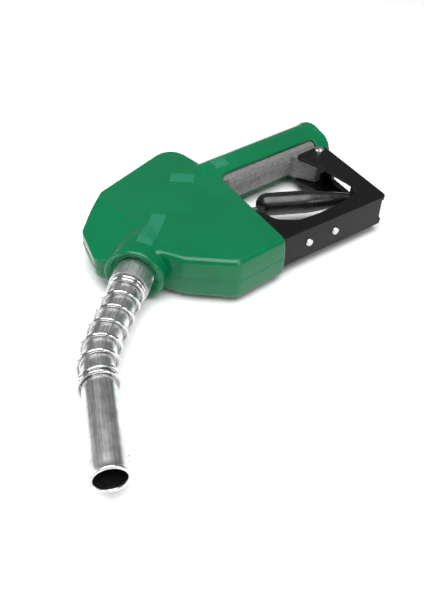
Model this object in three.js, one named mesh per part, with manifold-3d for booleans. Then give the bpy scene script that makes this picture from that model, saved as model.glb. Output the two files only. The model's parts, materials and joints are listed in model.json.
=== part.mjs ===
// Automatic shut-off fuel nozzle, lying on its side. Millimetres, +Z up.
// Datum: the handle axis is +X, the guard is towards +Y, and Z = 0 is the parting plane.
// The finished group is moved so that its origin is the middle of its footprint.

import * as THREE from 'three';
import { mergeVertices } from 'three/addons/utils/BufferGeometryUtils.js';
import Module from 'manifold-3d';

const wasm = await Module();
wasm.setup();

// ---------------------------------------------------------------- driving dimensions

const GAP = 0.3; // between pieces that touch
const SLIDE = 0.4; // round a piece that moves in a bore

const HANDLE = { front: 170, inlet: 17.5, radius: 16, keelRadius: 15, keelDrop: 8.5, bore: 10 };
const BODY_HALF = 16.5; // half of the scuff cover's thickness over the body
const COVER_WALL = 2.5;
const COVER_EDGE = 3.5; // rounding of the cover's long edges
// The grip runs full size to `front` and has sunk into the body by `faded`.
const GRIP = { rear: 20, front: 153, faded: 190, rearRadius: 20.2, frontRadius: 18.8, keelRadius: 17.6 };
const GRIP_BEAD = { radius: 20.8, width: 4 };
const GRIP_OPEN = { from: 36, drop: 16, fillet: 12 }; // the cover is open under the handle

// Rear face of the body: a straight line that leans forward towards the guard.
const REAR_FACE = { x: 151, y: 20.7, lean: 0.2275 };

const SPOUT_ANGLE = THREE.MathUtils.degToRad(39.7);
const SPOUT_BEND = THREE.MathUtils.degToRad(24);
const SPOUT_START_X = 187.9; // where the outlet axis leaves the handle axis
const SPOUT_BEND_RADIUS = 90;
const SPOUT_BEND_AT = 169; // along the outlet axis
const SPOUT_TAIL = 66.5; // straight length after the bend
const SPOUT = { radius: 10.3, wall: 1.2, lip: 0.45, lipLength: 2.2, rear: 88 };
const BUSHING = { wall: 3.4, rear: 84, front: 121, notchWidth: 4, notchLength: 7 };
const BUSHING_RADIUS = SPOUT.radius + GAP + BUSHING.wall;
const NECK_RADIUS = BUSHING_RADIUS + 3;
const COLLAR = { wall: 3.8, rear: 66, full: 86, front: 108, rim: 4.4, recess: 3.2 };
const COLLAR_RADIUS = NECK_RADIUS + COLLAR.wall;
const NECK_FRONT = COLLAR.front - 6;
const NOSE = { from: 245, drop: 8, length: 35, side: -12 }; // facets that thin the body beside the collar
const COIL = { wire: 2.3, turns: 8.6, closedTurns: 1.3, closedPitch: 2.9, length: 91 };
const VENT = { radius: 1.5, bore: 0.9, fromTip: 10, ferrule: 2, proud: 0.8 };
const VENT_OFFSET = SPOUT.radius - SPOUT.wall - VENT.radius - SLIDE;

const VALVE_X = 182; // main valve axis, along Y
const CHAMBER = { radius: 10, bottom: 16, lower: 7.5, lowerEnd: 33 };
const SEAT = { bore: 6, height: 3.7 };
const POPPET = { radius: 8, thickness: 4, guide: 4, guideLength: 9, seal: 2.4 };
const CAP = { top: -34, bottom: -26 };
const STEM_RADIUS = 2.5;
const PACKING = { top: 38, height: 3.7, radius: 6, nutRadius: 7.2, nutHeight: 6.4 };

const PIVOT = { x: 212, y: 84 }; // front lever pivot, at the foot of the trip plunger
const PLUNGER = { radius: 7, top: 60, bottom: 93, wall: 3.5, slotTop: 73 };
const PLUNGER_BORE = PLUNGER.radius - PLUNGER.wall;
const TRIP_BORE = { radius: 11.3, top: 48, bottom: 102.5 };
const LATCH_PIN = { radius: PLUNGER_BORE - SLIDE, button: 5, bottom: 68 };
const LATCH_RING = { top: 55.5, bottom: 69 };
const BALL = { radius: 1.5, height: 64, count: 3 };
const DIAPHRAGM = { radius: 10.8, top: 50.3, thickness: 1.2 };
const DIAPHRAGM_SPRING = { pocketTop: 42, pocket: 5, coil: 3.6, wire: 0.8, turns: 3 };

const LEVER_KNEE = { x: 150, y: 62 };
const LEVER_ELBOW = { x: 131, y: 57 };
const LEVER_TIP = { x: 69.5, y: 94.8 };
const LEVER_HALF = 2.5; // half thickness of the steel lever
const LEVER_SLOT = { top: 34, half: 6.2 }; // in the cover's rear face, for the squeezed lever
const SLEEVE = { front: 9.4, tip: 4.3, taperFrom: 0.45 };
const PIN_RADIUS = 2;

const GUARD_HALF = 12.8;
const GUARD_PLATE = 2.4;
const GUARD_WEB = 3;
const STRUT_RECESS = 4.5; // how far the strut's web lies in from the edges of the side plates
const GUARD_TOE = { x: 172.4, y: 114.9 }; // front end of the guard's web
const GUARD_HEEL = { x: 61.9, y: 122.6 }; // rear corner of the guard
const GUARD_CREST = { x: 34.6, y: 31.1 }; // rear upper corner of the strut
const GUARD_SCREW = { x: 44, y: 33, radius: 2.4, head: 4.2, headHeight: 2 };
const LUG_HALF = 9.5;
const TENON = { rear: 160, front: 188, top: 103.5, bottom: 113.8, pinX: 180, pinY: 108.5 };
const RACK = { rear: 107, front: 154, half: 4, base: 2, tooth: 2.4, pitch: 4 };
const RIVET = { at: [117.2, 144.3], shank: 1.5, head: 3.2, headHeight: 1.2, tail: 2.5 };
const LATCH = { half: 0.8, length: 41, width: 6 };

const CHECK = { seat: 60, seatWidth: 3, bore: 5.5, poppet: 7, guide: 78, guideWidth: 2.5 };
const PASSAGE = VENT_OFFSET + VENT.radius + 0.6; // bore round the check valve, wide enough for the vent

// ---------------------------------------------------------------- colours

const GREEN = { color: 0x007d4b, roughness: 0.4, metalness: 0 };
const BLACK_PLASTIC = { color: 0x1c1c1e, roughness: 0.6, metalness: 0 };
const BLACK_VINYL = { color: 0x0c0c0d, roughness: 0.25, metalness: 0 };
const CAST_ALUMINIUM = { color: 0x8d8b88, roughness: 0.6, metalness: 0.9 };
const BRIGHT_ALUMINIUM = { color: 0xc4c4c6, roughness: 0.3, metalness: 1 };
const STEEL = { color: 0xb9babc, roughness: 0.3, metalness: 1 };
const DARK_STEEL = { color: 0x2a2a2c, roughness: 0.5, metalness: 0.8 };
const BRASS = { color: 0xb08d3e, roughness: 0.35, metalness: 1 };
const RUBBER = { color: 0x141414, roughness: 0.8, metalness: 0 };

// ---------------------------------------------------------------- solids

function solid(geometry) {
  geometry.deleteAttribute('normal');
  geometry.deleteAttribute('uv');
  const merged = mergeVertices(geometry, 1e-4);
  const vertProperties = new Float32Array(merged.attributes.position.array);
  const triVerts = new Uint32Array(merged.index.array);
  return new wasm.Manifold(new wasm.Mesh({ numProp: 3, vertProperties, triVerts }));
}

function geometryOf(manifold) {
  const mesh = manifold.getMesh();
  const geometry = new THREE.BufferGeometry();
  geometry.setAttribute('position', new THREE.BufferAttribute(mesh.vertProperties, 3));
  geometry.setIndex(new THREE.BufferAttribute(mesh.triVerts, 1));
  const flat = geometry.toNonIndexed();
  flat.computeVertexNormals();
  return flat;
}

// Turns geometry built along +Y so that it runs along `axis` from `origin`.
function aim(geometry, origin, axis) {
  const turn = new THREE.Quaternion().setFromUnitVectors(new THREE.Vector3(0, 1, 0), axis.clone().normalize());
  return geometry.applyQuaternion(turn).translate(origin.x, origin.y, origin.z);
}

function rod(from, to, radius, endRadius = radius, sides = 24) {
  const axis = to.clone().sub(from);
  const geometry = new THREE.CylinderGeometry(endRadius, radius, axis.length(), sides);
  geometry.translate(0, axis.length() / 2, 0);
  return solid(aim(geometry, from, axis));
}

// A closed [radius, height] profile turned about the line from `origin` along `axis`.
function turned(profile, origin, axis, sides = 24) {
  const points = [...profile, profile[0]].map(([radius, height]) => new THREE.Vector2(radius, height));
  return solid(aim(new THREE.LatheGeometry(points, sides), origin, axis));
}

function ring(outer, inner, from, to, origin, axis, sides = 24) {
  const profile = [[inner, from], [outer, from], [outer, to], [inner, to]];
  return turned(profile, origin, axis, sides);
}

function block(x0, x1, y0, y1, z0, z1) {
  const geometry = new THREE.BoxGeometry(x1 - x0, y1 - y0, z1 - z0);
  return solid(geometry.translate((x0 + x1) / 2, (y0 + y1) / 2, (z0 + z1) / 2));
}

// Moves each edge of an anticlockwise [x, y, corner radius] outline inwards.
function inset(corners, distance) {
  return corners.map(([x, y, radius], i) => {
    const [bx, by] = corners.at(i - 1);
    const [ax, ay] = corners[(i + 1) % corners.length];
    const into = new THREE.Vector2(x - bx, y - by).normalize();
    const out = new THREE.Vector2(ax - x, ay - y).normalize();
    const step = distance / (1 + into.dot(out));
    const convex = Math.sign(into.cross(out));
    const newRadius = Math.max(radius - convex * distance, 0.5);
    return [x - step * (into.y + out.y), y + step * (into.x + out.x), newRadius];
  });
}

// Outline with an arc at each corner.
function outline(corners) {
  const shape = new THREE.Shape();
  corners.forEach(([x, y, radius], i) => {
    const corner = new THREE.Vector2(x, y);
    const [bx, by] = corners.at(i - 1);
    const [ax, ay] = corners[(i + 1) % corners.length];
    const back = new THREE.Vector2(bx, by).sub(corner);
    const ahead = new THREE.Vector2(ax, ay).sub(corner);
    const room = 0.48 * Math.min(back.length(), ahead.length());
    back.normalize();
    ahead.normalize();
    const halfAngle = Math.acos(THREE.MathUtils.clamp(back.dot(ahead), -1, 1)) / 2;
    const arcRadius = Math.min(radius, room * Math.tan(halfAngle));
    const middle = back.clone().add(ahead).setLength(arcRadius / Math.sin(halfAngle)).add(corner);
    const start = back.clone().multiplyScalar(arcRadius / Math.tan(halfAngle)).add(corner);
    const end = ahead.clone().multiplyScalar(arcRadius / Math.tan(halfAngle)).add(corner);
    const clockwise = back.cross(ahead) > 0;
    const angle = (point) => Math.atan2(point.y - middle.y, point.x - middle.x);
    shape.absarc(middle.x, middle.y, arcRadius, angle(start), angle(end), clockwise);
  });
  shape.closePath();
  return shape;
}

// An outline given thickness either side of the parting plane, with rounded long edges.
function slab(corners, half, edge = 0) {
  const geometry = new THREE.ExtrudeGeometry(outline(corners), {
    depth: 2 * (half - edge),
    steps: 1,
    curveSegments: 2,
    bevelEnabled: edge > 0,
    bevelThickness: edge,
    bevelSize: edge,
    bevelOffset: -edge,
    bevelSegments: 2,
  });
  return solid(geometry.translate(0, 0, edge - half));
}

function plate(corners, z0, z1) {
  return slab(corners, (z1 - z0) / 2).translate(0, 0, (z0 + z1) / 2);
}

class PathCurve extends THREE.Curve {
  constructor(at) {
    super();
    this.at = at;
  }

  getPoint(t, target = new THREE.Vector3()) {
    return target.copy(this.at(t));
  }
}

function disc(radius, sides) {
  const shape = new THREE.Shape();
  for (let i = 0; i < sides; i += 1) {
    const angle = (2 * Math.PI * i) / sides;
    const point = [radius * Math.cos(angle), radius * Math.sin(angle)];
    if (i) shape.lineTo(...point);
    else shape.moveTo(...point);
  }
  shape.closePath();
  return shape;
}

function sweep(at, radius, steps, sides, bore = 0) {
  const shape = disc(radius, sides);
  if (bore) shape.holes.push(disc(bore, sides));
  return solid(new THREE.ExtrudeGeometry(shape, { steps, bevelEnabled: false, extrudePath: new PathCurve(at) }));
}

// A straight compression spring from height `from` to `to` along an axis.
function spring(radius, wire, turns, from, to, origin, axis) {
  const side = new THREE.Vector3(-axis.y, axis.x, 0).normalize();
  const up = new THREE.Vector3(0, 0, 1);
  const low = from + wire / 2;
  const high = to - wire / 2;
  const at = (t) => {
    const angle = 2 * Math.PI * turns * t;
    const centre = origin.clone().addScaledVector(axis, THREE.MathUtils.lerp(low, high, t));
    return centre.addScaledVector(side, radius * Math.cos(angle)).addScaledVector(up, radius * Math.sin(angle));
  };
  return sweep(at, wire / 2, Math.round(turns * 10), 5);
}

// ---------------------------------------------------------------- datum lines

const point = (x, y, z = 0) => new THREE.Vector3(x, y, z);
const ALONG_X = point(1, 0);
const ALONG_Y = point(0, 1);
const ALONG_Z = point(0, 0, 1);
const rearX = (y) => REAR_FACE.x + REAR_FACE.lean * (y - REAR_FACE.y);

const outletStart = point(SPOUT_START_X, 0);
const outletAxis = point(Math.cos(SPOUT_ANGLE), Math.sin(SPOUT_ANGLE));
const outletSide = point(-Math.sin(SPOUT_ANGLE), Math.cos(SPOUT_ANGLE));
const bendEnd = SPOUT_BEND_AT + SPOUT_BEND_RADIUS * SPOUT_BEND;
const spoutEnd = bendEnd + SPOUT_TAIL;
const onOutlet = (along) => outletStart.clone().addScaledVector(outletAxis, along);

// A point at a distance along the spout's centre line, moved sideways in the parting plane and up.
function onSpout(along, aside = 0, up = 0) {
  const turn = THREE.MathUtils.clamp((along - SPOUT_BEND_AT) / SPOUT_BEND_RADIUS, 0, SPOUT_BEND);
  const heading = SPOUT_ANGLE + turn;
  const axis = point(Math.cos(heading), Math.sin(heading));
  const side = point(-Math.sin(heading), Math.cos(heading));
  const bendCentre = onOutlet(SPOUT_BEND_AT).addScaledVector(outletSide, SPOUT_BEND_RADIUS);
  const straight = Math.min(along - SPOUT_BEND_AT, 0) + Math.max(along - bendEnd, 0);
  const centre = bendCentre.addScaledVector(side, aside - SPOUT_BEND_RADIUS).addScaledVector(axis, straight);
  return centre.add(point(0, 0, up));
}

const spoutTip = onSpout(spoutEnd);
const spoutTipAxis = onSpout(spoutEnd + 1).sub(spoutTip);

// Cover outline over the body, anticlockwise from the rear corner above the handle.
const BODY_CORNERS = [
  [147.2, -54.5, 15],
  [240, -23, 16],
  [275, 9.5, 9],
  [285.5, 45, 8],
  [252, 76, 12],
  [244, 92, 10],
  [218, 118.5, 8],
  [140, 118.5, 8],
  [140, 24, 8],
  [147.2, 15, 4],
];

// Everything behind the rear face, below the handle.
function behindRearFace(back = 0) {
  const top = 24;
  const bottom = 140;
  const corners = [
    [120, top, 0.5],
    [rearX(top) + back, top, 0.5],
    [rearX(bottom) + back, bottom, 0.5],
    [120, bottom, 0.5],
  ];
  return slab(corners, 30);
}

const castingInset = COVER_WALL + GAP;
const castingHalf = BODY_HALF - castingInset;

// ---------------------------------------------------------------- lever line

// Outline round a bent strip, from its centre points and its half width at each.
function strip(points, halves) {
  const sides = points.map((p, i) => {
    const before = points[Math.max(i - 1, 0)];
    const after = points[Math.min(i + 1, points.length - 1)];
    const along = new THREE.Vector2(after.x - before.x, after.y - before.y).normalize();
    return [-along.y * halves[i], along.x * halves[i]];
  });
  const left = points.map((p, i) => [p.x + sides[i][0], p.y + sides[i][1], halves[i] * 0.8]);
  const right = points.map((p, i) => [p.x - sides[i][0], p.y - sides[i][1], halves[i] * 0.8]);
  return [...right, ...left.reverse()];
}

const leverDirection = point(LEVER_TIP.x - LEVER_ELBOW.x, LEVER_TIP.y - LEVER_ELBOW.y);
const leverSteelTip = {
  x: LEVER_TIP.x - leverDirection.x * 0.06,
  y: LEVER_TIP.y - leverDirection.y * 0.06,
};
const leverNose = { x: PIVOT.x + 4.5, y: PIVOT.y + 1.6 };
const leverLine = [leverSteelTip, LEVER_ELBOW, LEVER_KNEE, leverNose];
const leverHalves = [2.1, 4, 4, 4.4];
const kneeSlope = (PIVOT.y - LEVER_KNEE.y) / (PIVOT.x - LEVER_KNEE.x);
const leverTopAtStem = LEVER_KNEE.y + kneeSlope * (VALVE_X - STEM_RADIUS - LEVER_KNEE.x)
  - leverHalves[1] * Math.hypot(1, kneeSlope);

// ---------------------------------------------------------------- body casting

function trip(radius, top, bottom, sides = 24) {
  return rod(point(PIVOT.x, top), point(PIVOT.x, bottom), radius, radius, sides);
}

function valve(radius, top, bottom, sides = 24) {
  return rod(point(VALVE_X, top), point(VALVE_X, bottom), radius, radius, sides);
}

function lugCorners() {
  return [
    [37.5, 12, 1],
    [70, 12, 1],
    [67, 27, 3],
    [59, 45, 2],
    [52, 45, 3],
    [48.5, 38, 4],
    [37.5, 37.5, 3],
  ];
}

function bodyCasting() {
  const shell = slab(inset(BODY_CORNERS, castingInset), castingHalf, 3).subtract(noseFacets(castingInset));
  const barrel = rod(point(HANDLE.inlet, 0), point(GRIP.front + 3, 0), HANDLE.radius)
    .add(rod(point(GRIP.front, 0), point(HANDLE.front, 0), castingHalf));
  const keel = rod(
    point(GRIP.rear + GAP, HANDLE.keelDrop), point(GRIP.front + 3, HANDLE.keelDrop), HANDLE.keelRadius);
  const neck = rod(onOutlet(COLLAR.full - 6), onOutlet(NECK_FRONT), NECK_RADIUS)
    .add(rod(onOutlet(40), onOutlet(COLLAR.full), castingHalf));
  const lug = slab(lugCorners(), LUG_HALF);
  const solidBody = shell.subtract(behindRearFace(COVER_WALL)).add(barrel).add(keel).add(neck).add(lug);

  const leverPocketHalf = 5.5;
  const cuts = [
    rod(point(0, 0), point(VALVE_X, 0), HANDLE.bore),
    valve(CHAMBER.radius, -60, CHAMBER.bottom),
    valve(CHAMBER.lower, CHAMBER.bottom - 1, CHAMBER.lowerEnd),
    valve(STEM_RADIUS + SLIDE, CHAMBER.lowerEnd - 1, 60),
    valve(PACKING.radius + GAP, PACKING.top, 60),
    valve(PACKING.nutRadius + GAP, PACKING.top + PACKING.height + GAP, 60),
    rod(point(VALVE_X, 25), point(VALVE_X + 34, 25), 7),
    rod(onOutlet(30), onOutlet(BUSHING.rear + 1), PASSAGE),
    rod(onOutlet(BUSHING.rear - GAP), onOutlet(COLLAR.front + 5), BUSHING_RADIUS + GAP),
    block(140, VALVE_X - 10, 37, 93, -leverPocketHalf, leverPocketHalf),
    block(VALVE_X - 11, VALVE_X + 9, 49, 95, -leverPocketHalf, leverPocketHalf),
    block(VALVE_X + 8, PIVOT.x - 8, 62, 97, -leverPocketHalf, leverPocketHalf),
    trip(TRIP_BORE.radius, TRIP_BORE.top, TRIP_BORE.bottom),
    trip(DIAPHRAGM_SPRING.pocket, DIAPHRAGM_SPRING.pocketTop, TRIP_BORE.top + 1, 20),
    block(140, TENON.front + GAP, TENON.top - GAP, TENON.bottom + GAP, -10.7, 10.7),
    rod(point(TENON.pinX, TENON.pinY, -20), point(TENON.pinX, TENON.pinY, 20), PIN_RADIUS + GAP, PIN_RADIUS + GAP, 16),
    rod(
      point(GUARD_SCREW.x, GUARD_SCREW.y, -20), point(GUARD_SCREW.x, GUARD_SCREW.y, 20),
      GUARD_SCREW.radius + GAP, GUARD_SCREW.radius + GAP, 16),
  ];
  return cuts.reduce((body, cut) => body.subtract(cut), solidBody);
}

// ---------------------------------------------------------------- scuff cover

function noseFacets(back) {
  const slope = Math.atan2(NOSE.drop, NOSE.length);
  const start = onOutlet(0).addScaledVector(outletSide, NOSE.side);
  const end = onOutlet(140).addScaledVector(outletSide, NOSE.side);
  const corners = [[NOSE.from - 2, -60, 0.1], [320, -60, 0.1], [end.x, end.y, 0.1], [start.x, start.y, 0.1]];
  const upper = block(0, 90, -90, 150, 0, 30)
    .rotate([0, THREE.MathUtils.radToDeg(slope), 0])
    .translate([NOSE.from, 0, BODY_HALF - back])
    .intersect(plate(corners, 0, 40));
  return upper.add(upper.mirror([0, 0, 1]));
}

function collarSolid() {
  const { rear, full, front, rim, recess } = COLLAR;
  const radius = COLLAR_RADIUS;
  const profile = [
    [0, rear],
    [BODY_HALF, rear],
    [radius, full],
    [radius, front - 2],
    [radius - 1, front - 0.5],
    [radius - 2, front],
    [BUSHING_RADIUS + rim, front - 0.4],
    [BUSHING_RADIUS + 2, front - recess],
    [0, front - recess],
  ];
  return turned(profile, onOutlet(0), outletAxis, 32);
}

function scuffCover() {
  const bodyShell = slab(BODY_CORNERS, BODY_HALF, COVER_EDGE)
    .subtract(behindRearFace())
    .subtract(noseFacets(0));
  const grip = rod(point(GRIP.rear, 0), point(GRIP.front, 0), GRIP.rearRadius, GRIP.frontRadius, 28)
    .add(rod(point(GRIP.front, 0), point(GRIP.faded, 0), GRIP.frontRadius, COVER_WALL + HANDLE.bore, 28));
  const bead = rod(point(GRIP.rear, 0), point(GRIP.rear + GRIP_BEAD.width, 0), GRIP_BEAD.radius);
  const skirt = rod(
    point(GRIP.rear, HANDLE.keelDrop), point(REAR_FACE.x + 4, HANDLE.keelDrop), GRIP.keelRadius, GRIP.keelRadius, 28);
  const outer = bodyShell.add(grip).add(bead).add(skirt).add(collarSolid());

  const gripOpening = [
    [GRIP_OPEN.from, GRIP_OPEN.drop, 3],
    [REAR_FACE.x, GRIP_OPEN.drop, GRIP_OPEN.fillet],
    [REAR_FACE.x, 60, 1],
    [GRIP_OPEN.from, 60, 1],
  ];
  const cavity = slab(inset(BODY_CORNERS, COVER_WALL), BODY_HALF - COVER_WALL, 3)
    .subtract(noseFacets(COVER_WALL));
  const cuts = [
    cavity.subtract(behindRearFace(COVER_WALL - GAP)),
    rod(point(0, 0), point(GRIP.front + 4, 0), HANDLE.radius + GAP),
    rod(point(0, HANDLE.keelDrop), point(GRIP.front + 4, HANDLE.keelDrop), HANDLE.keelRadius + GAP),
    rod(onOutlet(COLLAR.full - 6 - GAP), onOutlet(NECK_FRONT + GAP), NECK_RADIUS + GAP),
    rod(onOutlet(40), onOutlet(COLLAR.full), castingHalf + GAP),
    rod(onOutlet(90), onOutlet(COLLAR.front + 5), BUSHING_RADIUS + GAP),
    plate(gripOpening, -30, 30),
    block(130, 182, 58, 118.5 - COVER_WALL, -GUARD_HALF - GAP, GUARD_HALF + GAP),
    block(130, VALVE_X, LEVER_SLOT.top, 60, -LEVER_SLOT.half, LEVER_SLOT.half),
  ];
  return cuts.reduce((cover, cut) => cover.subtract(cut), outer);
}

// ---------------------------------------------------------------- inlet and main valve

function inletStrainer() {
  const outer = HANDLE.bore - GAP;
  const from = HANDLE.inlet + 8;
  const profile = [
    [outer - 2, from], [outer, from], [outer, from + 3], [outer - 1.2, from + 3],
    [4, from + 36], [0, from + 38], [0, from + 36.6], [3, from + 35],
  ];
  return turned(profile, point(0, 0), ALONG_X, 20);
}

const seatTop = CHAMBER.bottom - GAP - SEAT.height;
const sealTop = seatTop - GAP - POPPET.seal;
const poppetTop = sealTop - GAP - POPPET.thickness;
const guideTop = poppetTop - POPPET.guideLength;

function mainValveSeat() {
  return ring(CHAMBER.radius - GAP, SEAT.bore, seatTop, CHAMBER.bottom - GAP, point(VALVE_X, 0), ALONG_Y);
}

function poppetSeal() {
  return ring(POPPET.radius - 0.2, STEM_RADIUS + GAP, sealTop, sealTop + POPPET.seal, point(VALVE_X, 0), ALONG_Y, 24);
}

function mainPoppet() {
  return valve(POPPET.radius, poppetTop, poppetTop + POPPET.thickness)
    .add(valve(POPPET.guide, guideTop, poppetTop + 1, 20));
}

function mainSpring() {
  return spring(6.5, 1.2, 5, CAP.bottom + GAP, poppetTop - GAP, point(VALVE_X, 0), ALONG_Y);
}

function poppetCap() {
  const slot = block(VALVE_X - 6, VALVE_X + 6, CAP.top - 1, CAP.top + 2, -1, 1);
  return valve(CHAMBER.radius - GAP, CAP.top, CAP.bottom).subtract(slot);
}

function mainStem() {
  return valve(STEM_RADIUS, sealTop, leverTopAtStem - GAP, 20);
}

function stemPacking() {
  const { top, height, radius } = PACKING;
  return ring(radius, STEM_RADIUS + 0.2, top + GAP, top + height, point(VALVE_X, 0), ALONG_Y, 24);
}

function packingNut() {
  const top = PACKING.top + PACKING.height + 2 * GAP;
  return valve(PACKING.nutRadius, top, top + PACKING.nutHeight, 6)
    .subtract(valve(STEM_RADIUS + GAP, top - 1, top + 10, 20));
}

// ---------------------------------------------------------------- lever and trip mechanism

function lever() {
  const bar = slab(strip(leverLine, leverHalves), LEVER_HALF);
  const hole = (centre, radius) => rod(
    point(centre.x, centre.y, -9), point(centre.x, centre.y, 9), radius, radius, 16);
  return bar.subtract(hole(PIVOT, PIN_RADIUS + GAP)).subtract(hole(LEVER_KNEE, 1.4 + GAP));
}

function leverSleeve() {
  const length = leverDirection.length();
  const profile = [];
  for (let i = 0; i <= 6; i += 1) {
    const angle = (Math.PI / 2) * (i / 6);
    profile.push([SLEEVE.front * Math.sin(angle), -SLEEVE.front * Math.cos(angle)]);
  }
  profile.push([SLEEVE.front, length * SLEEVE.taperFrom]);
  for (let i = 0; i <= 4; i += 1) {
    const angle = (Math.PI / 2) * (i / 4);
    profile.push([SLEEVE.tip * Math.cos(angle), length + SLEEVE.tip * Math.sin(angle)]);
  }
  const elbow = point(LEVER_ELBOW.x, LEVER_ELBOW.y);
  const body = turned(profile, elbow, leverDirection.clone().normalize(), 28);
  const room = slab(strip(leverLine, leverHalves.map((half) => half + GAP)), LEVER_HALF + GAP);
  return body.subtract(room);
}

function leverPin() {
  const half = PLUNGER.radius - 0.6;
  return rod(point(PIVOT.x, PIVOT.y, -half), point(PIVOT.x, PIVOT.y, half), PIN_RADIUS, PIN_RADIUS, 16);
}

const ballSeat = LATCH_PIN.radius + BALL.radius + GAP;
const ballDirection = (index) => {
  const angle = (2 * Math.PI * index) / BALL.count + Math.PI / 2;
  return point(Math.cos(angle), 0, Math.sin(angle));
};

function tripPlunger() {
  const slotHalf = LEVER_HALF + GAP;
  let plunger = trip(PLUNGER.radius, PLUNGER.top, PLUNGER.bottom)
    .subtract(trip(PLUNGER_BORE, PLUNGER.top - 1, LATCH_PIN.bottom + 1.5, 20))
    .subtract(block(PIVOT.x - 20, PIVOT.x + 20, PLUNGER.slotTop, PLUNGER.bottom + 1, -slotHalf, slotHalf))
    .subtract(rod(
      point(PIVOT.x, PIVOT.y, -20), point(PIVOT.x, PIVOT.y, 20), PIN_RADIUS + GAP, PIN_RADIUS + GAP, 16));
  for (let i = 0; i < BALL.count; i += 1) {
    const centre = point(PIVOT.x, BALL.height);
    const outside = centre.clone().addScaledVector(ballDirection(i), 12);
    plunger = plunger.subtract(rod(centre, outside, BALL.radius + GAP, BALL.radius + GAP, 12));
  }
  return plunger;
}

function latchBall(index) {
  const centre = point(PIVOT.x, BALL.height).addScaledVector(ballDirection(index), ballSeat);
  return solid(new THREE.SphereGeometry(BALL.radius, 12, 8).translate(centre.x, centre.y, centre.z));
}

function latchRing() {
  const { top, bottom } = LATCH_RING;
  return ring(TRIP_BORE.radius - GAP, PLUNGER.radius + SLIDE, top, bottom, point(PIVOT.x, 0), ALONG_Y);
}

const buttonTop = DIAPHRAGM.top + DIAPHRAGM.thickness + GAP;

function latchPin() {
  return trip(LATCH_PIN.button, buttonTop, buttonTop + 1.5, 20)
    .add(trip(LATCH_PIN.radius, buttonTop + 1, LATCH_PIN.bottom, 20));
}

function diaphragm() {
  return trip(DIAPHRAGM.radius, DIAPHRAGM.top, DIAPHRAGM.top + DIAPHRAGM.thickness);
}

function diaphragmSpring() {
  const { pocketTop, coil, wire, turns } = DIAPHRAGM_SPRING;
  return spring(coil, wire, turns, pocketTop + GAP, DIAPHRAGM.top - GAP, point(PIVOT.x, 0), ALONG_Y);
}

// ---------------------------------------------------------------- outlet and spout

function checkValveSeat() {
  const { bore, seat, seatWidth } = CHECK;
  return ring(PASSAGE - GAP, bore, seat, seat + seatWidth, onOutlet(0), outletAxis, 24);
}

const checkPoppetRear = CHECK.seat + CHECK.seatWidth + GAP;

function checkValvePoppet() {
  return rod(onOutlet(checkPoppetRear), onOutlet(checkPoppetRear + 2.5), CHECK.poppet, CHECK.poppet, 24)
    .add(rod(onOutlet(checkPoppetRear + 1), onOutlet(CHECK.guide + CHECK.guideWidth), 2, 2, 16));
}

function checkValveSpring() {
  return spring(3.8, 0.9, 4, checkPoppetRear + 2.5 + GAP, CHECK.guide - GAP, onOutlet(0), outletAxis);
}

function checkValveGuide() {
  const { guide, guideWidth } = CHECK;
  const portAt = (index) => {
    const angle = (Math.PI / 2) * index + Math.PI / 4;
    const offset = outletSide.clone().multiplyScalar(5.6 * Math.cos(angle)).add(point(0, 0, 5.6 * Math.sin(angle)));
    return rod(onOutlet(guide - 1).add(offset), onOutlet(guide + 5).add(offset), 2, 2, 12);
  };
  let disk = ring(PASSAGE - GAP, 2 + SLIDE, guide, guide + guideWidth, onOutlet(0), outletAxis, 24);
  for (let i = 0; i < 4; i += 1) disk = disk.subtract(portAt(i));
  return disk;
}

const screwAlong = 99;

function spoutBushing() {
  const { rear, front, notchWidth, notchLength } = BUSHING;
  const radius = BUSHING_RADIUS;
  const tube = ring(radius, SPOUT.radius + GAP, rear, front, onOutlet(0), outletAxis, 28);
  const notchFrom = onOutlet(COLLAR.front - 2).addScaledVector(outletSide, radius);
  const notchTo = onOutlet(COLLAR.front - 2 + notchLength).addScaledVector(outletSide, radius);
  const hole = rod(onOutlet(screwAlong), onOutlet(screwAlong).setZ(-20), 2 + GAP, 2 + GAP, 16);
  return tube.subtract(rod(notchFrom, notchTo, notchWidth / 2, notchWidth / 2, 12)).subtract(hole);
}

function spoutScrew() {
  const outside = onOutlet(screwAlong).setZ(-BUSHING_RADIUS + 0.1);
  const inside = onOutlet(screwAlong).setZ(-SPOUT.radius - GAP);
  return rod(outside, inside, 2, 2, 16);
}

function spout() {
  const { radius, wall, lip, lipLength, rear } = SPOUT;
  const tube = sweep((t) => onSpout(THREE.MathUtils.lerp(rear, spoutEnd, t)), radius, 18, 22, radius - wall);
  const profile = [
    [radius - wall, -lipLength], [radius + 0.01, -lipLength], [radius + lip, -lipLength * 0.6],
    [radius + lip, -0.4], [radius, 0.2], [radius - wall, 0.2], [radius - wall - lip, -0.4], [radius - wall - lip, -0.9],
  ];
  const rolledLip = turned(profile, spoutTip, spoutTipAxis, 22);
  const ventAt = spoutEnd - VENT.fromTip;
  const ventHole = rod(onSpout(ventAt, radius - 3), onSpout(ventAt, radius + 4), VENT.ferrule + GAP, VENT.ferrule + GAP, 16);
  return tube.add(rolledLip).subtract(ventHole);
}

function spoutSpring() {
  const { wire, turns, closedTurns, closedPitch, length } = COIL;
  const coilRadius = SPOUT.radius + SLIDE + wire / 2;
  const start = BUSHING.front + GAP + wire / 2;
  const open = length - closedPitch * turns - wire;
  const at = (t) => {
    const turn = t * turns;
    const opened = THREE.MathUtils.clamp((turn - closedTurns) / (turns - 2 * closedTurns), 0, 1);
    const along = start + closedPitch * turn + open * opened;
    const angle = 2 * Math.PI * turn;
    return onSpout(along, coilRadius * Math.cos(angle), coilRadius * Math.sin(angle));
  };
  return sweep(at, wire / 2, Math.round(turns * 14), 6);
}

const ventTubeEnd = spoutEnd - VENT.fromTip - VENT.ferrule - GAP;

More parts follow.
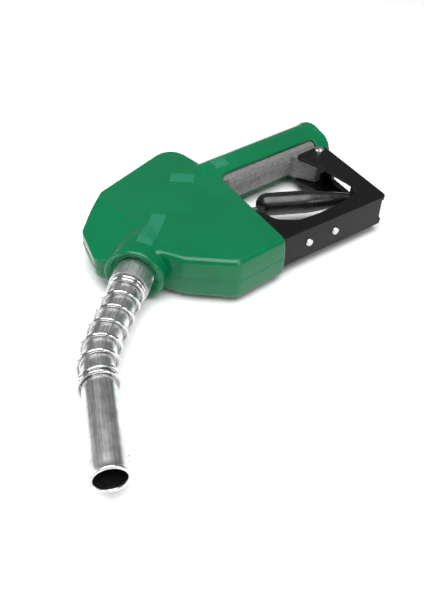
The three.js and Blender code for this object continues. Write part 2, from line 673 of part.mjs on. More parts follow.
function ventTube() {
  const from = CHECK.guide + CHECK.guideWidth + 2 * GAP;
  const at = (t) => onSpout(THREE.MathUtils.lerp(from, ventTubeEnd, t), VENT_OFFSET);
  return sweep(at, VENT.radius, 14, 8, VENT.bore);
}

function ventFerrule() {
  const at = spoutEnd - VENT.fromTip;
  const inner = SPOUT.radius - SPOUT.wall - 1;
  const outer = SPOUT.radius + VENT.proud;
  return rod(onSpout(at, inner), onSpout(at, outer), VENT.ferrule, VENT.ferrule, 16)
    .subtract(rod(onSpout(at, inner - 1), onSpout(at, outer + 1), VENT.bore, VENT.bore, 10));
}

// ---------------------------------------------------------------- guard and hold-open parts

const webAxis = point(GUARD_TOE.x - GUARD_HEEL.x, GUARD_TOE.y - GUARD_HEEL.y).normalize();
const webInwards = point(webAxis.y, -webAxis.x);
const onWeb = (x, inwards = 0) => point(GUARD_HEEL.x, GUARD_HEEL.y)
  .addScaledVector(webAxis, (x - GUARD_HEEL.x) / webAxis.x)
  .addScaledVector(webInwards, inwards);

function guardCorners() {
  const lobe = 73.8;
  return [
    [GUARD_CREST.x, GUARD_CREST.y, 4],
    [44, 27, 6],
    [69.5, 27.5, 5],
    [67, 60, 30],
    [71, 101, 9],
    [90, 106.6, 20],
    [123.4, 106.2, 20],
    [143.2, 103.4, 16],
    [155.5, 92, 9],
    [157.5, 76, 3],
    [rearX(lobe) - GAP, lobe, 2],
    [rearX(GUARD_TOE.y) - GAP, GUARD_TOE.y, 1.2],
    [GUARD_HEEL.x, GUARD_HEEL.y, 5],
  ];
}

function guard() {
  const crest = point(GUARD_CREST.x, GUARD_CREST.y);
  const heel = point(GUARD_HEEL.x, GUARD_HEEL.y);
  const strutAxis = heel.clone().sub(crest).normalize();
  const inward = new THREE.Vector3(strutAxis.y, -strutAxis.x, 0);
  const innerHeel = heel.clone().addScaledVector(webAxis, STRUT_RECESS / inward.dot(webAxis));
  const channel = inset([
    [GUARD_CREST.x - 3.3 + STRUT_RECESS / inward.x, 20, 0.5],
    [190, 0, 0.5],
    [190, GUARD_TOE.y - (190 - GUARD_TOE.x) * -webAxis.y / webAxis.x, 0.5],
    [innerHeel.x, innerHeel.y, 6],
  ], GUARD_WEB);
  const recess = [
    crest.clone().addScaledVector(strutAxis, 22).addScaledVector(inward, -4),
    crest.clone().addScaledVector(strutAxis, 22).addScaledVector(inward, STRUT_RECESS),
    heel.clone().addScaledVector(strutAxis, 8).addScaledVector(inward, STRUT_RECESS),
    heel.clone().addScaledVector(strutAxis, 8).addScaledVector(inward, -4),
  ].map((corner) => [corner.x, corner.y, 0.5]);
  const half = GUARD_HALF - GUARD_PLATE;
  const tenon = block(TENON.rear, TENON.front, TENON.top, TENON.bottom, -half, half);
  const pin = (x, y, radius) => rod(point(x, y, -20), point(x, y, 20), radius, radius, 16);
  const webWindow = 8;
  let body = slab(guardCorners(), GUARD_HALF, 0.6)
    .subtract(slab(channel, half))
    .subtract(slab(recess, half - 1))
    .add(tenon)
    .subtract(pin(TENON.pinX, TENON.pinY, PIN_RADIUS + GAP))
    .subtract(pin(GUARD_SCREW.x, GUARD_SCREW.y, GUARD_SCREW.radius + GAP))
    .subtract(block(20, 55, 20, 42, -half, half))
    .subtract(block(20, 70, 56, 84, -webWindow, webWindow));
  for (const x of RIVET.at) {
    body = body.subtract(rod(onWeb(x, -2), onWeb(x, 6), RIVET.shank + GAP, RIVET.shank + GAP, 12));
  }
  return body;
}

function guardScrew() {
  const { x, y, radius, head, headHeight } = GUARD_SCREW;
  const face = GUARD_HALF + GAP;
  const slot = block(x - 5, x + 5, y - 0.5, y + 0.5, face + headHeight - 0.8, face + headHeight + 1);
  return rod(point(x, y, -GUARD_HALF - 3.4), point(x, y, face + 0.5), radius, radius, 16)
    .add(rod(point(x, y, face), point(x, y, face + headHeight), head, head * 0.72, 20))
    .subtract(slot);
}

function guardNut() {
  const { x, y, radius } = GUARD_SCREW;
  const face = -GUARD_HALF - GAP;
  return rod(point(x, y, face - 2.8), point(x, y, face), 4.4, 4.4, 6)
    .subtract(rod(point(x, y, -30), point(x, y, 0), radius + GAP, radius + GAP, 16));
}

function guardPin() {
  const { pinX, pinY } = TENON;
  const half = castingHalf - GAP;
  return rod(point(pinX, pinY, -half), point(pinX, pinY, half), PIN_RADIUS, PIN_RADIUS, 16);
}

function holdOpenRack() {
  const { rear, front, half, base, tooth, pitch } = RACK;
  const foot = GUARD_WEB + GAP;
  const corner = (x, inwards) => {
    const place = onWeb(x, inwards);
    return [place.x, place.y, 0.05];
  };
  const corners = [corner(front, foot), corner(rear, foot), corner(rear, foot + base)];
  for (let x = rear + pitch; x < front - pitch; x += pitch) {
    const overRivet = RIVET.at.some((at) => x > at - 3 - pitch && x < at + 3);
    if (!overRivet) {
      corners.push(corner(x, foot + base), corner(x + pitch * 0.15, foot + base + tooth));
      corners.push(corner(x + pitch * 0.85, foot + base));
    }
  }
  corners.push(corner(front, foot + base));
  const strap = slab(corners.reverse(), half);
  return RIVET.at.reduce((rack, x) => rack.subtract(
    rod(onWeb(x, 0), onWeb(x, 10), RIVET.shank + GAP, RIVET.shank + GAP, 12)), strap);
}

function rackRivet(x) {
  const { shank, head, headHeight, tail } = RIVET;
  const top = GUARD_WEB + 2 * GAP + RACK.base;
  return rod(onWeb(x, -GAP - headHeight), onWeb(x, -GAP), head * 0.8, head, 20)
    .add(rod(onWeb(x, -GAP - 0.5), onWeb(x, top + 0.5), shank, shank, 12))
    .add(rod(onWeb(x, top), onWeb(x, top + 0.9), tail, tail * 0.8, 14));
}

function holdOpenLatch() {
  const { length, width, half } = LATCH;
  const { x, y } = LEVER_KNEE;
  const corners = [
    [x - width / 2, y - width / 2, 2.5],
    [x + width / 2, y - width / 2, 2.5],
    [x + width / 2 + 2, y + length * 0.5, 4],
    [x + width / 2 + 1, y + length - 4, 3],
    [x - 5, y + length, 1],
    [x - 5, y + length - 3, 1],
    [x - 1, y + length - 8, 3],
    [x - width / 2 + 1.5, y + length * 0.5, 4],
  ];
  const near = LEVER_HALF + GAP;
  return plate(corners, near, near + 2 * half)
    .subtract(rod(point(x, y, 0), point(x, y, 9), 1.4 + GAP, 1.4 + GAP, 16));
}

function latchPivotPin() {
  const { x, y } = LEVER_KNEE;
  const front = LEVER_HALF + 2 * GAP + 2 * LATCH.half;
  return rod(point(x, y, -LEVER_HALF - GAP - 0.5), point(x, y, front + 0.5), 1.4, 1.4, 16)
    .add(rod(point(x, y, front), point(x, y, front + 1), 2.3, 2.3, 16))
    .add(rod(point(x, y, -LEVER_HALF - GAP - 1), point(x, y, -LEVER_HALF - GAP), 2.3, 2.3, 16));
}

// ---------------------------------------------------------------- assembly

const group = new THREE.Group();

function addPart(name, manifold, look) {
  const mesh = new THREE.Mesh(geometryOf(manifold), new THREE.MeshStandardMaterial(look));
  mesh.name = name;
  group.add(mesh);
}

addPart('body_casting', bodyCasting(), CAST_ALUMINIUM);
addPart('scuff_cover', scuffCover(), GREEN);
addPart('inlet_strainer', inletStrainer(), STEEL);
addPart('main_valve_seat', mainValveSeat(), BRASS);
addPart('poppet_seal', poppetSeal(), RUBBER);
addPart('main_poppet', mainPoppet(), BRASS);
addPart('main_spring', mainSpring(), STEEL);
addPart('poppet_cap', poppetCap(), CAST_ALUMINIUM);
addPart('main_stem', mainStem(), STEEL);
addPart('stem_packing', stemPacking(), RUBBER);
addPart('packing_nut', packingNut(), BRASS);
addPart('lever', lever(), DARK_STEEL);
addPart('lever_sleeve', leverSleeve(), BLACK_VINYL);
addPart('lever_pin', leverPin(), STEEL);
addPart('trip_plunger', tripPlunger(), STEEL);
for (let i = 0; i < BALL.count; i += 1) addPart(`latch_ball_${i + 1}`, latchBall(i), STEEL);
addPart('latch_ring', latchRing(), STEEL);
addPart('latch_pin', latchPin(), STEEL);
addPart('diaphragm', diaphragm(), RUBBER);
addPart('diaphragm_spring', diaphragmSpring(), STEEL);
addPart('check_valve_seat', checkValveSeat(), BRASS);
addPart('check_valve_poppet', checkValvePoppet(), BRASS);
addPart('check_valve_spring', checkValveSpring(), STEEL);
addPart('check_valve_guide', checkValveGuide(), BRASS);
addPart('spout_bushing', spoutBushing(), BRIGHT_ALUMINIUM);
addPart('spout_screw', spoutScrew(), STEEL);
addPart('spout', spout(), BRIGHT_ALUMINIUM);
addPart('spout_spring', spoutSpring(), STEEL);
addPart('vent_tube', ventTube(), BRIGHT_ALUMINIUM);
addPart('vent_ferrule', ventFerrule(), BRIGHT_ALUMINIUM);
addPart('guard', guard(), BLACK_PLASTIC);
addPart('guard_screw', guardScrew(), STEEL);
addPart('guard_nut', guardNut(), STEEL);
addPart('guard_pin', guardPin(), STEEL);
addPart('hold_open_rack', holdOpenRack(), STEEL);
RIVET.at.forEach((x, i) => addPart(`rack_rivet_${i + 1}`, rackRivet(x), STEEL));
addPart('hold_open_latch', holdOpenLatch(), STEEL);
addPart('latch_pivot_pin', latchPivotPin(), STEEL);

const bounds = new THREE.Box3().setFromObject(group);
const centre = bounds.getCenter(new THREE.Vector3());
group.position.set(-centre.x, -centre.y, -bounds.min.z);

export default group;
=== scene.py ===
"""Looks of an automatic shut-off fuel nozzle lying on its side. Metres, in the row frame."""

import json
import math

import bmesh
import bpy
import numpy as np
from mathutils import Matrix, Vector
from mathutils.bvhtree import BVHTree


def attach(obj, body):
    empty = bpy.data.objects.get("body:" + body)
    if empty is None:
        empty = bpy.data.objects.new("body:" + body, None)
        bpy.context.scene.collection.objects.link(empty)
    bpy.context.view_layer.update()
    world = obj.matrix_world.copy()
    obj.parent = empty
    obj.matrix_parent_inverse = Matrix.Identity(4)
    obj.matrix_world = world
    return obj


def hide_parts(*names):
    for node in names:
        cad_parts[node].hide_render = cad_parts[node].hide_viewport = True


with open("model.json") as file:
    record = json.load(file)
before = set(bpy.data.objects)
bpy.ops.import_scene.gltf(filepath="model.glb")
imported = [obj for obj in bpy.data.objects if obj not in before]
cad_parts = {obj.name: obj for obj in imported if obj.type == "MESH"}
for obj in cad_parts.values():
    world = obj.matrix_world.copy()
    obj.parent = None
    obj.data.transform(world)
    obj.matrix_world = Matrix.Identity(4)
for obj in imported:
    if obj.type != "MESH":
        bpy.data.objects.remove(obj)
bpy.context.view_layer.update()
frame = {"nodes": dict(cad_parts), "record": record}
nodes = frame["nodes"]

MM = 0.001
DEG = math.pi / 180

# ------------------------------------------------------------------ datum
# The design datum is on the handle axis: x along the handle, y to the guard, z from the parting plane.

DATUM = Vector((-198.72467, -76.61435, 20.8)) * MM
OUTLET_X = 187.9
OUTLET_ANGLE = 39.7 * DEG
BEND_ANGLE = 24 * DEG
BEND_RADIUS = 90
BEND_AT = 169
TAIL = 66.5
BEND_END = BEND_AT + BEND_RADIUS * BEND_ANGLE
SPOUT_END = BEND_END + TAIL
SPOUT_RADIUS = 10.3
SPOUT_WALL = 1.2
BODY_HALF = 16.5


def place(x, y, z=0.0):
    """A datum point, in millimetres, as a point of the row frame."""
    return DATUM + Vector((x, y, z)) * MM


def spout_frame(along):
    """Centre, axis and side direction of the spout at a distance along its centre line."""
    turn = min(max((along - BEND_AT) / BEND_RADIUS, 0), BEND_ANGLE)
    heading = OUTLET_ANGLE + turn
    axis = Vector((math.cos(heading), math.sin(heading), 0))
    side = Vector((-math.sin(heading), math.cos(heading), 0))
    start = Vector((OUTLET_X, 0, 0))
    first = Vector((math.cos(OUTLET_ANGLE), math.sin(OUTLET_ANGLE), 0))
    left = Vector((-math.sin(OUTLET_ANGLE), math.cos(OUTLET_ANGLE), 0))
    centre = start + first * BEND_AT + left * BEND_RADIUS - side * BEND_RADIUS
    straight = min(along - BEND_AT, 0) + max(along - BEND_END, 0)
    return centre + axis * straight, axis, side


def on_spout(along, aside=0.0, up=0.0):
    centre, _, side = spout_frame(along)
    point = centre + side * aside + Vector((0, 0, up))
    return place(*point)


def smoothstep(low, high, value):
    t = np.clip((value - low) / (high - low), 0, 1)
    return t * t * (3 - 2 * t)


# ------------------------------------------------------------------ materials


class Look:
    """A Principled material with a few helpers for procedural detail."""

    def __init__(self, name, roughness, metallic=0.0, **sockets):
        self.material = bpy.data.materials.new(name)
        self.material.use_nodes = True
        self.tree = self.material.node_tree
        self.shader = self.tree.nodes["Principled BSDF"]
        self.shader.inputs["Roughness"].default_value = roughness
        self.shader.inputs["Metallic"].default_value = metallic
        for key, value in sockets.items():
            self.shader.inputs[key.replace("_", " ")].default_value = value
        self.bump = None

    def node(self, kind, **values):
        made = self.tree.nodes.new(kind)
        for key, value in values.items():
            made.inputs[key].default_value = value
        return made

    def link(self, output, target):
        self.tree.links.new(output, target)

    def coordinates(self, stretch=(1, 1, 1), source="Object"):
        where = self.tree.nodes.new("ShaderNodeTexCoord")
        mapping = self.tree.nodes.new("ShaderNodeMapping")
        mapping.inputs["Scale"].default_value = stretch
        self.link(where.outputs[source], mapping.inputs["Vector"])
        return mapping.outputs["Vector"]

    def noise(self, scale, detail=4.0, stretch=(1, 1, 1), source="Object", distortion=0.0):
        texture = self.node("ShaderNodeTexNoise", Scale=scale, Detail=detail, Distortion=distortion)
        self.link(self.coordinates(stretch, source), texture.inputs["Vector"])
        return texture.outputs["Fac"]

    def ramp(self, factor, low, high, start=0.3, end=0.7):
        ramp = self.tree.nodes.new("ShaderNodeValToRGB")
        ramp.color_ramp.elements[0].position = start
        ramp.color_ramp.elements[1].position = end
        ramp.color_ramp.elements[0].color = low
        ramp.color_ramp.elements[1].color = high
        self.link(factor, ramp.inputs["Fac"])
        return ramp.outputs["Color"]

    def colour(self, factor, low, high, start=0.3, end=0.7):
        self.link(self.ramp(factor, (*low, 1), (*high, 1), start, end), self.shader.inputs["Base Color"])
        return self

    def vary_roughness(self, factor, low, high, start=0.3, end=0.7):
        spread = self.node("ShaderNodeMapRange")
        spread.inputs["From Min"].default_value = start
        spread.inputs["From Max"].default_value = end
        spread.inputs["To Min"].default_value = low
        spread.inputs["To Max"].default_value = high
        self.link(factor, spread.inputs["Value"])
        self.link(spread.outputs["Result"], self.shader.inputs["Roughness"])
        return self

    def relief(self, factor, depth, strength=1.0):
        bump = self.node("ShaderNodeBump", Strength=strength, Distance=depth)
        self.link(factor, bump.inputs["Height"])
        if self.bump:
            self.link(self.bump.outputs["Normal"], bump.inputs["Normal"])
        self.link(bump.outputs["Normal"], self.shader.inputs["Normal"])
        self.bump = bump
        return self


def green_vinyl():
    look = Look("green_vinyl", 0.2, Specular_IOR_Level=0.35)
    look.colour(look.noise(22, 5), (0.0, 0.116, 0.042), (0.0, 0.134, 0.050), 0.35, 0.65)
    look.vary_roughness(look.noise(60, 6), 0.15, 0.24)
    look.relief(look.noise(28, 2), 0.0008, 0.3)
    return look.material


def textured_green_vinyl():
    look = Look("green_vinyl_textured", 0.55, Specular_IOR_Level=0.5)
    look.colour(look.noise(900, 3), (0.0, 0.120, 0.052), (0.002, 0.190, 0.092), 0.4, 0.62)
    look.relief(look.noise(900, 3), 0.00015, 0.5)
    return look.material


def cast_aluminium():
    look = Look("cast_aluminium", 0.6, 0.6)
    look.colour(look.noise(420, 8), (0.15, 0.15, 0.149), (0.25, 0.247, 0.244), 0.3, 0.7)
    look.vary_roughness(look.noise(700, 4), 0.5, 0.7)
    look.relief(look.noise(1300, 6), 0.0002, 0.5)
    return look.material


def drawn_aluminium(name, low, high, source="UV", stretch=(90, 6, 1)):
    """Bright tube with fine streaks along it and a faint patina."""
    look = Look(name, 0.3, 1.0)
    streaks = look.noise(1.0, 6, stretch, source)
    look.colour(look.noise(180, 8), low, high, 0.3, 0.7)
    look.vary_roughness(streaks, 0.22, 0.4)
    look.relief(streaks, 0.00006, 0.2)
    look.relief(look.noise(500, 5), 0.00006, 0.25)
    return look.material


def bright_metal(name, low, high, roughness, grain=700):
    look = Look(name, roughness, 1.0)
    look.colour(look.noise(grain / 4, 6), low, high)
    look.vary_roughness(look.noise(grain, 4), roughness * 0.8, roughness * 1.35)
    look.relief(look.noise(grain, 3), 0.00005, 0.3)
    return look.material


def grained_black():
    look = Look("black_grained_plastic", 0.34, Specular_IOR_Level=0.2)
    look.colour(look.noise(300, 6), (0.002, 0.002, 0.0024), (0.004, 0.004, 0.0045))
    look.vary_roughness(look.noise(500, 4), 0.27, 0.42)
    look.relief(look.noise(1100, 5), 0.00012, 0.4)
    return look.material


def glossy_black():
    look = Look("black_dipped_vinyl", 0.24, Specular_IOR_Level=0.55)
    look.colour(look.noise(90, 4), (0.0045, 0.0045, 0.005), (0.0075, 0.0075, 0.008))
    look.vary_roughness(look.noise(150, 5), 0.2, 0.33)
    look.relief(look.noise(160, 4), 0.00035, 0.3)
    return look.material


def black_rubber():
    look = Look("black_rubber", 0.75)
    look.colour(look.noise(500, 4), (0.008, 0.008, 0.008), (0.016, 0.016, 0.016))
    look.relief(look.noise(900, 3), 0.0001, 0.4)
    return look.material


# Black paint for the dark steel parts, also laid on the spout's bore as painted shade.
def black_paint_and_bore_shade():
    look = Look("black_paint_and_bore_shade", 0.4, 0.3)
    look.colour(look.noise(300, 5), (0.010, 0.010, 0.011), (0.022, 0.022, 0.024))
    look.relief(look.noise(700, 4), 0.00015, 0.4)
    return look.material


ALUMINIUM = drawn_aluminium("drawn_aluminium", (0.52, 0.52, 0.52), (0.84, 0.84, 0.84))
TURNED = bright_metal("turned_aluminium", (0.70, 0.70, 0.70), (0.80, 0.80, 0.80), 0.36)
LOOKS = {
    "green_cover": green_vinyl(),
    "cast_aluminium": cast_aluminium(),
    "bright_aluminium": TURNED,
    "spring_steel": bright_metal("spring_wire", (0.55, 0.55, 0.55), (0.72, 0.72, 0.72), 0.14),
    "steel": bright_metal("plated_steel", (0.50, 0.50, 0.50), (0.72, 0.72, 0.73), 0.26),
    "dark_steel": black_paint_and_bore_shade(),
    "black_plastic": grained_black(),
    "black_vinyl": glossy_black(),
    "brass": bright_metal("turned_brass", (0.42, 0.28, 0.08), (0.62, 0.44, 0.16), 0.3),
    "black_rubber": black_rubber(),
}
PAD_LOOK = textured_green_vinyl()
SLOT_OF = {part["node"]: part["material_slot"] for part in frame["record"]["subparts"]}

# ------------------------------------------------------------------ mesh helpers


def new_piece(name, mesh, material, body, slot, *replaced):
    piece = bpy.data.objects.new(name, mesh)
    bpy.context.collection.objects.link(piece)
    mesh.materials.clear()
    mesh.materials.append(material)
    mesh.polygons.foreach_set("use_smooth", [True] * len(mesh.polygons))
    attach(piece, body)
    if replaced:
        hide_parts(*replaced)
    return piece


def modified(mesh, *modifiers):
    """A copy of a mesh with modifiers, given as (type, {setting: value}), applied."""
    carrier = bpy.data.objects.new("carrier", mesh)
    bpy.context.collection.objects.link(carrier)
    for kind, settings in modifiers:
        modifier = carrier.modifiers.new(kind, kind)
        for key, value in settings.items():
            setattr(modifier, key, value)
    graph = bpy.context.evaluated_depsgraph_get()
    result = bpy.data.meshes.new_from_object(carrier.evaluated_get(graph))
    bpy.data.objects.remove(carrier)
    return result


def grid_tube(rings, closed=False):
    """A mesh from rings of points, each ring closed on itself, with UVs round and along it."""
    mesh = bpy.data.meshes.new("tube")
    shape = bmesh.new()
    layers = [[shape.verts.new(point) for point in ring] for ring in rings]
    uv = shape.loops.layers.uv.new("UVMap")
    count = len(layers[0])
    last = len(layers) if closed else len(layers) - 1
    for i in range(last):
        near, far = layers[i], layers[(i + 1) % len(layers)]
        for j in range(count):
            k = (j + 1) % count
            face = shape.faces.new((near[j], near[k], far[k], far[j]))
            corners = ((j, i), (j + 1, i), (j + 1, i + 1), (j, i + 1))
            for loop, (around, along) in zip(face.loops, corners):
                loop[uv].uv = (around / count, along / len(layers))
    bmesh.ops.recalc_face_normals(shape, faces=shape.faces)
    shape.to_mesh(mesh)
    shape.free()
    return mesh


def capped_tube(rings):
    """As grid_tube, with its two ends filled."""
    mesh = grid_tube(rings)
    shape = bmesh.new()
    shape.from_mesh(mesh)
    bmesh.ops.holes_fill(shape, edges=[edge for edge in shape.edges if edge.is_boundary])
    bmesh.ops.recalc_face_normals(shape, faces=shape.faces)
    shape.to_mesh(mesh)
    shape.free()
    return mesh


# ------------------------------------------------------------------ scuff cover

# Sizes in millimetres, in the datum.
VOXEL = 0.8
SMOOTHING_PASSES = 3
SEAM_CUTS = (-0.9, -0.5, 0.0, 0.5, 0.9)
SEAM_PROUD = 0.45
SEAM_HALF = 0.3
SWELL = 1.3
SWELL_FROM, SWELL_FULL = 150, 166
ENCLOSED = ("body_casting", "guard", "poppet_cap")
ENCLOSED_NEAR = 1.4
UPRIGHT = 0.7
PADS = (
    {"centre": (240.5, 50), "angle": OUTLET_ANGLE, "half": (22, 5.6)},
    {"centre": (176, 2), "angle": 2.35, "half": (10, 7)},
    {"centre": (137, 4), "angle": -0.1, "half": (7, 5.5)},
)
PAD_HEIGHT = 0.35
PAD_LOWEST = 8
RIDGE_X = 245.5
RIDGE_HEIGHT = 0.7
RIDGE_WIDTH = 2.4
RIDGE_STARTS, RIDGE_ENDS = (-20, -8), (28, 40)


def datum_points(mesh):
    points = np.empty(len(mesh.vertices) * 3)
    mesh.vertices.foreach_get("co", points)
    return (points.reshape(-1, 3) - np.array(DATUM)) / MM


def store_points(mesh, points):
    mesh.vertices.foreach_set("co", (points * MM + np.array(DATUM)).ravel())
    mesh.update()


def pad_mask(points, pad, edge=0.6):
    """1 inside a pad's rectangle on either face of the cover, 0 outside it."""
    dx, dy = points[:, 0] - pad["centre"][0], points[:, 1] - pad["centre"][1]
    cos, sin = math.cos(pad["angle"]), math.sin(pad["angle"])
    along, across = dx * cos + dy * sin, -dx * sin + dy * cos
    inside = 1 - smoothstep(pad["half"][0] - edge, pad["half"][0] + edge, np.abs(along))
    return inside * (1 - smoothstep(pad["half"][1] - edge, pad["half"][1] + edge, np.abs(across)))


def outer_skin(mesh):
    """True for each vertex that doesn't lie close against a piece that the cover encloses."""
    enclosed = [
        BVHTree.FromPolygons(
            [vertex.co for vertex in nodes[name].data.vertices],
            [polygon.vertices for polygon in nodes[name].data.polygons])
        for name in ENCLOSED
    ]
    return np.array([
        all(tree.find_nearest(vertex.co, ENCLOSED_NEAR * MM)[0] is None for tree in enclosed)
        for vertex in mesh.vertices
    ])


def scuff_cover():
    """The soft one-piece moulding: rounded edges, swelling sides, parting line, ridge and textured pads."""
    mesh = modified(
        nodes["scuff_cover"].data.copy(),
        ("REMESH", {"mode": "VOXEL", "voxel_size": VOXEL * MM, "use_smooth_shade": True}),
        ("SMOOTH", {"factor": 0.5, "iterations": SMOOTHING_PASSES}),
    )
    shape = bmesh.new()
    shape.from_mesh(mesh)
    for height in SEAM_CUTS:
        geometry = shape.verts[:] + shape.edges[:] + shape.faces[:]
        bmesh.ops.bisect_plane(
            shape, geom=geometry, plane_co=place(0, 0, height), plane_no=(0, 0, 1), dist=0.00001)
    shape.to_mesh(mesh)
    shape.free()

    points = datum_points(mesh)
    normals = np.empty(len(mesh.vertices) * 3)
    mesh.vertices.foreach_get("normal", normals)
    normals = normals.reshape(-1, 3)
    outside = outer_skin(mesh)
    x, y, z = points.T

    # The sides swell and the seam stands proud along the horizontal part of each normal.
    flat = np.hypot(normals[:, 0], normals[:, 1])
    body = smoothstep(SWELL_FROM, SWELL_FULL, x) * outside * (flat > 0.2)
    swell = body * SWELL * np.clip(1 - (z / BODY_HALF) ** 2, 0, 1)
    seam = outside * SEAM_PROUD * (np.abs(z) < SEAM_HALF) * (np.abs(normals[:, 2]) < 0.6)
    flat = np.where(flat < 0.05, 1, flat)
    points[:, 0] += (swell + seam) * normals[:, 0] / flat
    points[:, 1] += (swell + seam) * normals[:, 1] / flat

    along_ridge = smoothstep(*RIDGE_STARTS, y) * (1 - smoothstep(*RIDGE_ENDS, y))
    ridge = outside * along_ridge * np.exp(-((x - RIDGE_X) / RIDGE_WIDTH) ** 2)
    ridge = ridge * (np.abs(normals[:, 2]) > 0.6)
    points[:, 2] += RIDGE_HEIGHT * ridge * np.sign(z)
    for pad in PADS:
        raised = pad_mask(points, pad) * outside * (normals[:, 2] > UPRIGHT)
        points[:, 2] += PAD_HEIGHT * raised
    store_points(mesh, points)

    new_piece("scuff_cover_skin", mesh, LOOKS["green_cover"], "body", "green_cover", "scuff_cover")
    mesh.materials.append(PAD_LOOK)
    centres = np.array([polygon.center for polygon in mesh.polygons])
    centres = (centres - np.array(DATUM)) / MM
    upward = np.array([polygon.normal.z > UPRIGHT for polygon in mesh.polygons])
    on_pad = upward & (centres[:, 2] > PAD_LOWEST)
    on_pad &= np.max([pad_mask(centres, pad, 0.1) for pad in PADS], axis=0) > 0.5
    mesh.polygons.foreach_set("material_index", on_pad.astype(int))


# ------------------------------------------------------------------ spout and its spring

ROUND = 72
SPOUT_REAR = 88
SPOUT_STEP = 2.5
LIP_LENGTH = 3
LIP = (  # distance past the spout's end, and height over its outside
    (-2.6, 0.0), (-1.9, 0.15), (-1.3, 0.42), (-0.6, 0.45), (0.0, 0.2),
    (0.2, -0.5), (0.1, -1.2), (-0.4, -1.6), (-1.2, -1.55), (-2.2, -SPOUT_WALL),
)
COIL = {"wire": 2.3, "turns": 8.6, "closed_turns": 1.3, "closed_pitch": 2.9, "length": 91, "gap": 0.4}
COIL_REAR = 121.3
COIL_STEPS = 430
COIL_SIDES = 14
COIL_END_SHARE = 0.8


def ring_at(along, radius):
    ring = []
    for i in range(ROUND):
        angle = 2 * math.pi * i / ROUND
        ring.append(on_spout(along, radius * math.cos(angle), radius * math.sin(angle)))
    return ring


def spout():
    """The bent tube with a thin rolled lip, open at both ends."""
    steps = np.arange(0, SPOUT_END - SPOUT_REAR - LIP_LENGTH, SPOUT_STEP)
    outer = [(SPOUT_REAR + step, SPOUT_RADIUS) for step in steps]
    lip = [(SPOUT_END + past, SPOUT_RADIUS + over) for past, over in LIP]
    inner = [(along, SPOUT_RADIUS - SPOUT_WALL) for along, _ in outer[::-2]]
    mesh = grid_tube([ring_at(along, radius) for along, radius in outer + lip + inner], closed=True)
    new_piece("spout_tube", mesh, ALUMINIUM, "body", "bright_aluminium", "spout")
    # The bore and the rear end take the black paint look: painted shade, a dark surface standing in for the
    # shade inside the aluminium tube.
    mesh.materials.append(LOOKS["dark_steel"])
    first = (len(outer) + len(lip) - 1) * ROUND
    last = first + len(inner) * ROUND
    inside = [int(first <= i < last) for i in range(len(mesh.polygons))]
    mesh.polygons.foreach_set("material_index", inside)


def spout_spring():
    """The wire guard round the spout, with closed turns at both ends."""
    wire, turns, pitch = COIL["wire"], COIL["turns"], COIL["closed_pitch"]
    closed = COIL["closed_turns"]
    coil_radius = SPOUT_RADIUS + COIL["gap"] + wire / 2
    start = COIL_REAR + wire / 2
    spare = COIL["length"] - pitch * turns - wire

    def centre(t):
        turn = t * turns
        opened = min(max((turn - closed) / (turns - 2 * closed), 0), 1)
        angle = 2 * math.pi * turn
        along = start + pitch * turn + spare * opened
        return on_spout(along, coil_radius * math.cos(angle), coil_radius * math.sin(angle)), along

    rings = []
    for i in range(COIL_STEPS + 1):
        point, along = centre(i / COIL_STEPS)
        ahead, _ = centre(min(i / COIL_STEPS + 0.001, 1))
        behind, _ = centre(max(i / COIL_STEPS - 0.001, 0))
        tangent = (ahead - behind).normalized()
        outward = (point - on_spout(along)).normalized()
        across = tangent.cross(outward).normalized()
        outward = across.cross(tangent)
        radius = wire / 2 * MM
        if i in (0, COIL_STEPS):
            radius *= COIL_END_SHARE
        rings.append([
            point + (outward * math.cos(a) + across * math.sin(a)) * radius
            for a in (2 * math.pi * k / COIL_SIDES for k in range(COIL_SIDES))
        ])
    new_piece(
        "spout_coil", capped_tube(rings), LOOKS["spring_steel"], "body", "spring_steel", "spout_spring")


# ------------------------------------------------------------------ lever sleeve

ELBOW = (131, 57)
LEVER_TIP = (69.5, 94.8)
SLEEVE_SIDES = 48


def lever_sleeve():
    """A dipped sleeve: round nose at the front, tapering to a small rounded tip."""
    front, tip, taper_from = 9.4, 4.3, 0.45
    run = Vector((LEVER_TIP[0] - ELBOW[0], LEVER_TIP[1] - ELBOW[1], 0))
    length = run.length
    axis = run.normalized()
    side = Vector((-axis.y, axis.x, 0))
    profile = [(-front * math.cos(a), front * math.sin(a)) for a in np.linspace(0.03, math.pi / 2, 16)]
    for share in np.linspace(0.04, 0.96, 30):
        taper = max(share - taper_from, 0) / (1 - taper_from)
        profile.append((length * share, front + (tip - front) * taper ** 1.2))
    for a in np.linspace(0, math.pi / 2 - 0.04, 10):
        profile.append((length + tip * math.sin(a), tip * math.cos(a)))
    rings = []
    for along, radius in profile:
        centre = Vector((*ELBOW, 0)) + axis * along
        rings.append([
            place(*(centre + side * (radius * math.cos(a)) + Vector((0, 0, radius * math.sin(a)))))
            for a in (2 * math.pi * k / SLEEVE_SIDES for k in range(SLEEVE_SIDES))
        ])
    new_piece(
        "lever_grip", capped_tube(rings), LOOKS["black_vinyl"], "lever", "black_vinyl", "lever_sleeve")


# ------------------------------------------------------------------ carried-over parts

BEVELS = {"guard": 0.45, "body_casting": 0.5, "spout_bushing": 0.35, "guard_screw": 0.25, "lever": 0.4}
PLAIN_BEVEL = 0.12
BEVEL_FROM = 35 * DEG


def carried_over(shown_by_new_pieces):
    """Bevelled edges and a material for each CAD node that is shown as it is."""
    for name, node in nodes.items():
        if name in shown_by_new_pieces:
            continue
        node.data.materials.clear()
        node.data.materials.append(LOOKS[SLOT_OF[name]])
        bevel = node.modifiers.new("edge", "BEVEL")
        bevel.width = BEVELS.get(name, PLAIN_BEVEL) * MM
        bevel.segments = 2
        bevel.limit_method = "ANGLE"
        bevel.angle_limit = BEVEL_FROM
        bevel.harden_normals = False
        node.data.polygons.foreach_set("use_smooth", [True] * len(node.data.polygons))
        node.modifiers.new("normals", "WEIGHTED_NORMAL").keep_sharp = True


# ------------------------------------------------------------------ stage


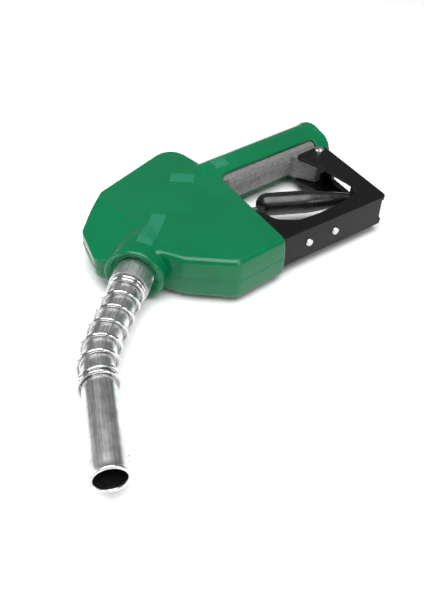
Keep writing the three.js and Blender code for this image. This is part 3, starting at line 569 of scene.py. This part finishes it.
FLOOR_SIZE = 6
SKY_STRENGTH = 0.2
LAMPS = (  # name, place in metres, side of the square in metres, watts
    ("overhead", (0.25, 0.3, 1.7), 1.9, 58),
    ("left", (1.5, -0.9, 0.55), 0.6, 9),
    ("right", (-0.2, 1.8, 0.7), 0.7, 8),
)
LAMPS_AIM = Vector((0, 0, 0.02))
CAMERA_LENS = 35.88
CAMERA_FORWARD = Vector((-0.4924, -0.5868, -0.6428))
CAMERA_ROLL = 0.5 * DEG
CAMERA_SPOT = (440.7, 356.6)
CAMERA_HEIGHT = 276.97  # over the floor


def floor_and_light():
    bpy.ops.mesh.primitive_plane_add(size=FLOOR_SIZE, location=(0, 0, 0))
    floor = bpy.context.object
    floor.name = "floor"
    bpy.context.scene.view_settings.view_transform = "Standard"
    look = Look("floor_white", 0.9, Specular_IOR_Level=0.1)
    look.colour(look.noise(3, 2), (0.86, 0.86, 0.86), (0.89, 0.89, 0.89))
    floor.data.materials.append(look.material)

    world = bpy.data.worlds.new("studio")
    world.use_nodes = True
    bpy.context.scene.world = world
    world.node_tree.nodes["Background"].inputs["Color"].default_value = (1, 1, 1, 1)
    world.node_tree.nodes["Background"].inputs["Strength"].default_value = SKY_STRENGTH

    for name, spot, size, power in LAMPS:
        data = bpy.data.lights.new(name, "AREA")
        data.size = size
        data.energy = power
        lamp = bpy.data.objects.new(name, data)
        bpy.context.collection.objects.link(lamp)
        lamp.location = spot
        lamp.rotation_mode = "QUATERNION"
        lamp.rotation_quaternion = (LAMPS_AIM - Vector(spot)).to_track_quat("-Z", "Y")


def camera():
    data = bpy.data.cameras.new("camera")
    data.sensor_width = 36
    data.lens = CAMERA_LENS
    data.clip_start, data.clip_end = 0.01, 20
    made = bpy.data.objects.new("camera", data)
    bpy.context.collection.objects.link(made)
    forward = CAMERA_FORWARD.normalized()
    right = forward.cross(Vector((0, 0, 1))).normalized()
    up = right.cross(forward)
    turn = Matrix((right, up, -forward)).transposed().to_4x4()
    spot = Vector((*CAMERA_SPOT, 0)) * MM + Vector((DATUM.x, DATUM.y, CAMERA_HEIGHT * MM))
    made.matrix_world = Matrix.Translation(spot) @ turn @ Matrix.Rotation(CAMERA_ROLL, 4, "Z")
    bpy.context.scene.camera = made


camera()
floor_and_light()
scuff_cover()
spout()
spout_spring()
lever_sleeve()
carried_over({"scuff_cover", "spout", "spout_spring", "lever_sleeve"})
